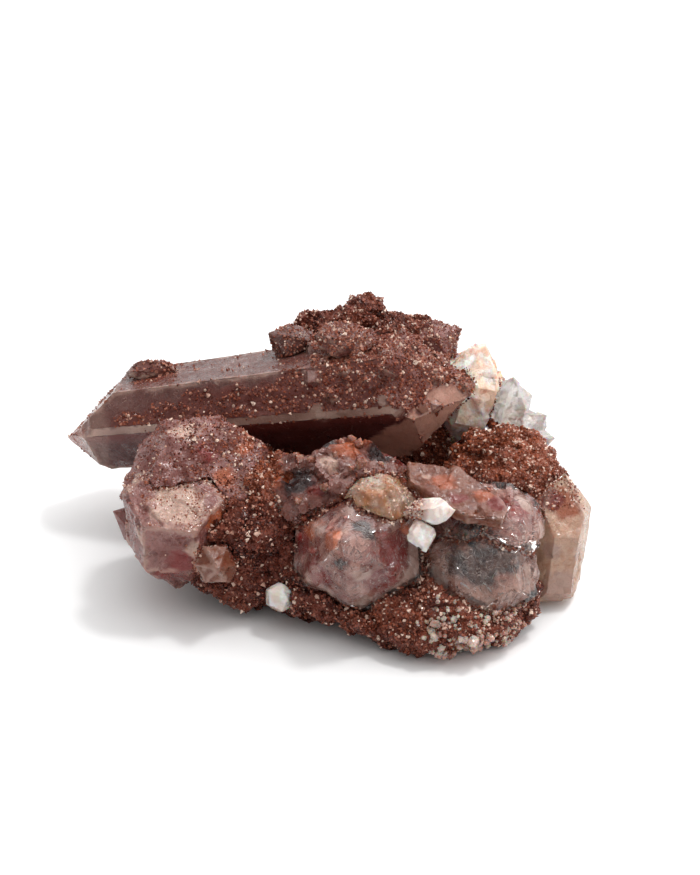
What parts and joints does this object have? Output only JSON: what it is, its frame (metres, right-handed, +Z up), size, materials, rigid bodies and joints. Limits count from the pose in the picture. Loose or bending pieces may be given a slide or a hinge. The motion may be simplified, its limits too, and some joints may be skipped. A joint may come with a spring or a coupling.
{
  "type": "hematoid quartz specimen",
  "caption": "Cluster of red-brown iron-stained quartz crystals on a druse-coated rock matrix, resting on its flat base.",
  "frame": {"origin": "under the middle of the specimen, on the surface that it rests on", "axes": "+Z up; +X to the right as seen from the front, about along the big crystal that lies across the top; +Y away from the front"},
  "size_m": [0.0856, 0.0626, 0.0379],
  "materials": {
    "druse_rock": "sparkling brown druse on rock",
    "mauve_quartz": "grey-mauve quartz, satin faces dusted with hematite",
    "rust_quartz": "red-brown quartz, glossy",
    "clear_quartz": "clear grey quartz with red inclusions",
    "smoky_quartz": "smoky clear quartz, broken faces",
    "honey_quartz": "translucent honey quartz",
    "cream_quartz": "translucent milky cream quartz",
    "white_quartz": "white to clear quartz"
  },
  "bodies": {
    "root": {"matrix": "druse_rock", "long_crystal": "mauve_quartz", "left_crystal": "mauve_quartz", "dome_crystal": "mauve_quartz", "corner_crystal": "rust_quartz", "left_stub": "mauve_quartz", "front_crystal": "clear_quartz", "smoky_crystal": "smoky_quartz", "cream_crystal": "cream_quartz", "broken_quartz": "clear_quartz", "red_blade": "rust_quartz", "round_quartz": "clear_quartz", "right_crystal": "honey_quartz", "upper_white_chip": "white_quartz", "lower_white_chip": "white_quartz", "white_bead": "white_quartz", "milky_quartz": "cream_quartz", "clear_points": "white_quartz", "ridge_crystal": "mauve_quartz", "smoky_chip": "smoky_quartz", "back_crystal": "mauve_quartz", "back_point": "clear_quartz"}
  },
  "joints": []
}
